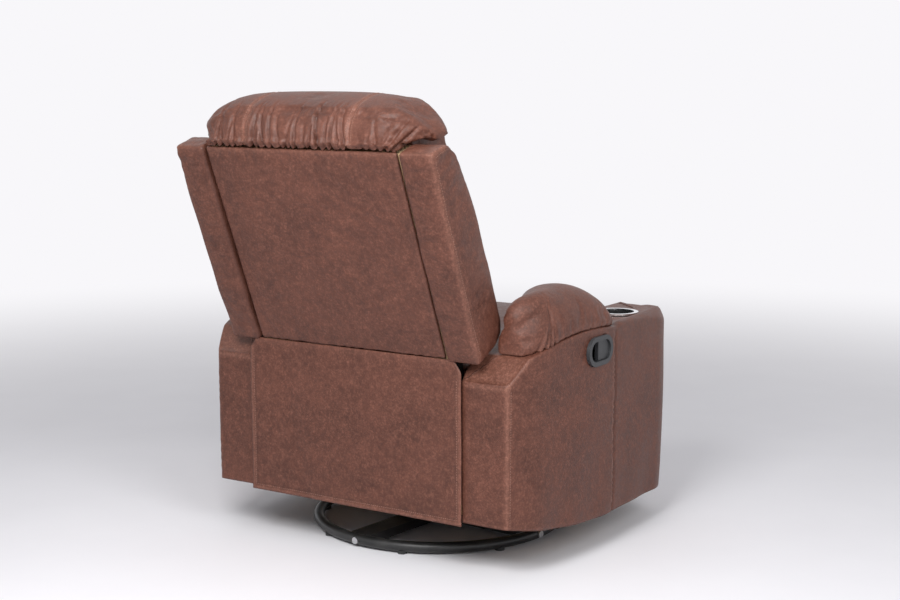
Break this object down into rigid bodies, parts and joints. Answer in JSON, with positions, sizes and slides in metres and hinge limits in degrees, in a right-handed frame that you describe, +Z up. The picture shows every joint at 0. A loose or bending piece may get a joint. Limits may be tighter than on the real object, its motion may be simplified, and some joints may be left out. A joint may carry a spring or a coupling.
{
  "type": "swivel rocker recliner",
  "caption": "Padded recliner with cup-holder arms on a swivelling, rocking ring base; back reclines, footrest folds out and a side pull releases it.",
  "frame": {"origin": "on the swivel axis at the floor, the middle of the ring base", "axes": "+Z up along the swivel axis, -Y towards the sitter's feet, +X towards the sitter's left"},
  "size_m": [0.914, 0.9386, 1.0296],
  "materials": {
    "base_steel": "satin",
    "foot_plastic": "matte",
    "zinc_fastener": "satin",
    "mechanism_steel": "satin",
    "spring_steel": "satin",
    "frame_wood": "matte",
    "upholstery": "satin",
    "webbing": "matte",
    "cup_plastic": "satin",
    "cup_rim_metal": "polished",
    "handle_plastic": "satin",
    "cable_sheath": "satin"
  },
  "bodies": {
    "base": {"base_ring": "base_steel", "base_crossbar": "base_steel", "base_cross_stubs": "base_steel", "base_feet": "foot_plastic", "base_bolts": "zinc_fastener", "swivel_lower_plate": "mechanism_steel", "swivel_balls": "spring_steel", "swivel_kingpin": "mechanism_steel"},
    "swivel": {"swivel_upper_plate": "mechanism_steel", "rocker_cross_beams": "frame_wood", "rocker_track_left": "frame_wood", "rocker_track_right": "frame_wood", "rocker_springs": "spring_steel"},
    "rocker": {"rocker_cam_left": "frame_wood", "rocker_cam_right": "frame_wood", "mechanism_rail_left": "mechanism_steel", "mechanism_rail_right": "mechanism_steel", "mechanism_cross_tubes": "mechanism_steel", "seat_link_pins_lower": "zinc_fastener", "arm_frame_left": "frame_wood", "arm_frame_right": "frame_wood", "arm_cover_left": "upholstery", "arm_cover_right": "upholstery", "arm_pad_left": "upholstery", "arm_pad_right": "upholstery", "cup_holder_left": "cup_plastic", "cup_holder_right": "cup_plastic", "cup_rims": "cup_rim_metal", "handle_bezel": "handle_plastic", "handle_pin": "zinc_fastener", "release_cable": "cable_sheath", "latch_pin": "zinc_fastener"},
    "seat_links_front": {"seat_links_front": "mechanism_steel"},
    "seat_links_rear": {"seat_links_rear": "mechanism_steel"},
    "seat": {"seat_rail_left": "mechanism_steel", "seat_rail_right": "mechanism_steel", "seat_cross_rails": "frame_wood", "seat_springs": "spring_steel", "seat_cushion": "upholstery", "seat_link_pins_upper": "zinc_fastener", "recline_pins": "zinc_fastener"},
    "footrest_drive": {"footrest_drive_links": "mechanism_steel", "footrest_torque_tube": "mechanism_steel"},
    "footrest_front": {"footrest_front_links": "mechanism_steel"},
    "ottoman": {"ottoman_brackets": "mechanism_steel", "ottoman_board": "frame_wood", "ottoman_cushion": "upholstery"},
    "back": {"back_panel": "upholstery", "back_stiles": "frame_wood", "back_rails": "frame_wood", "back_brackets": "mechanism_steel", "back_webbing": "webbing", "back_cushion": "upholstery", "wing_left": "upholstery", "wing_right": "upholstery", "headrest_cushion": "upholstery"},
    "flap": {"back_flap": "upholstery"},
    "handle": {"handle_paddle": "handle_plastic"},
    "latch": {"latch_hook": "mechanism_steel"}
  },
  "joints": [
    {"name": "swivel", "type": "hinge", "parent": "base", "child": "swivel", "pos_m": [0, 0, 0.029], "axis": [0, 0, 1], "continuous": true},
    {"name": "rock", "type": "hinge", "parent": "swivel", "child": "rocker", "pos_m": [0, 0, 0.2023], "axis": [-1, 0, 0], "range_deg": [-7, 7], "stiffness_Nm_per_rad": 2500, "deforming": ["rocker_springs"]},
    {"name": "recline", "type": "hinge", "parent": "seat", "child": "back", "pos_m": [0, 0.3, 0.4], "axis": [-1, 0, 0], "range_deg": [0, 35]},
    {"name": "seat_link_front", "type": "hinge", "parent": "rocker", "child": "seat_links_front", "pos_m": [0, -0.15, 0.215], "axis": [1, 0, 0], "range_deg": [0, 30.5]},
    {"name": "seat_carry", "type": "hinge", "parent": "seat_links_front", "child": "seat", "pos_m": [0, -0.13447, 0.27296], "axis": [1, 0, 0], "range_deg": [-30.5, 0]},
    {"name": "seat_link_rear", "type": "hinge", "parent": "rocker", "child": "seat_links_rear", "pos_m": [0, 0.15, 0.215], "axis": [1, 0, 0], "range_deg": [0, 30.5]},
    {"name": "flap_hang", "type": "hinge", "parent": "back", "child": "flap", "pos_m": [0, 0.3526, 0.4735], "axis": [1, 0, 0], "range_deg": [0, 35.5]},
    {"name": "footrest", "type": "hinge", "parent": "seat", "child": "footrest_drive", "pos_m": [0, -0.262, 0.318], "axis": [-1, 0, 0], "range_deg": [0, 53.7]},
    {"name": "footrest_knee", "type": "hinge", "parent": "footrest_drive", "child": "footrest_front", "pos_m": [0, -0.27943, 0.11876], "axis": [-1, 0, 0], "range_deg": [-78.9, 0]},
    {"name": "footrest_toe", "type": "hinge", "parent": "footrest_front", "child": "ottoman", "pos_m": [0, -0.29686, 0.318], "axis": [-1, 0, 0], "range_deg": [0, 120.2]},
    {"name": "handle_pull", "type": "hinge", "parent": "rocker", "child": "handle", "pos_m": [-0.4495, 0.017, 0.465], "axis": [0, 0, 1], "range_deg": [0, 25], "stiffness_Nm_per_rad": 0.6},
    {"name": "latch_release", "type": "hinge", "parent": "rocker", "child": "latch", "pos_m": [-0.274, 0.102, 0.19], "axis": [-1, 0, 0], "range_deg": [0, 15.5]}
  ],
  "couplings": [
    {"joint": "seat_link_front", "follows": "recline", "ratio": 0.85714},
    {"joint": "seat_carry", "follows": "recline", "ratio": -0.85714},
    {"joint": "seat_link_rear", "follows": "recline", "ratio": 0.85714},
    {"joint": "flap_hang", "follows": "recline", "ratio": 1},
    {"joint": "footrest_knee", "follows": "footrest", "ratio": -1.46},
    {"joint": "footrest_toe", "follows": "footrest", "ratio": 2.229},
    {"joint": "latch_release", "follows": "handle_pull", "ratio": 0.6}
  ]
}
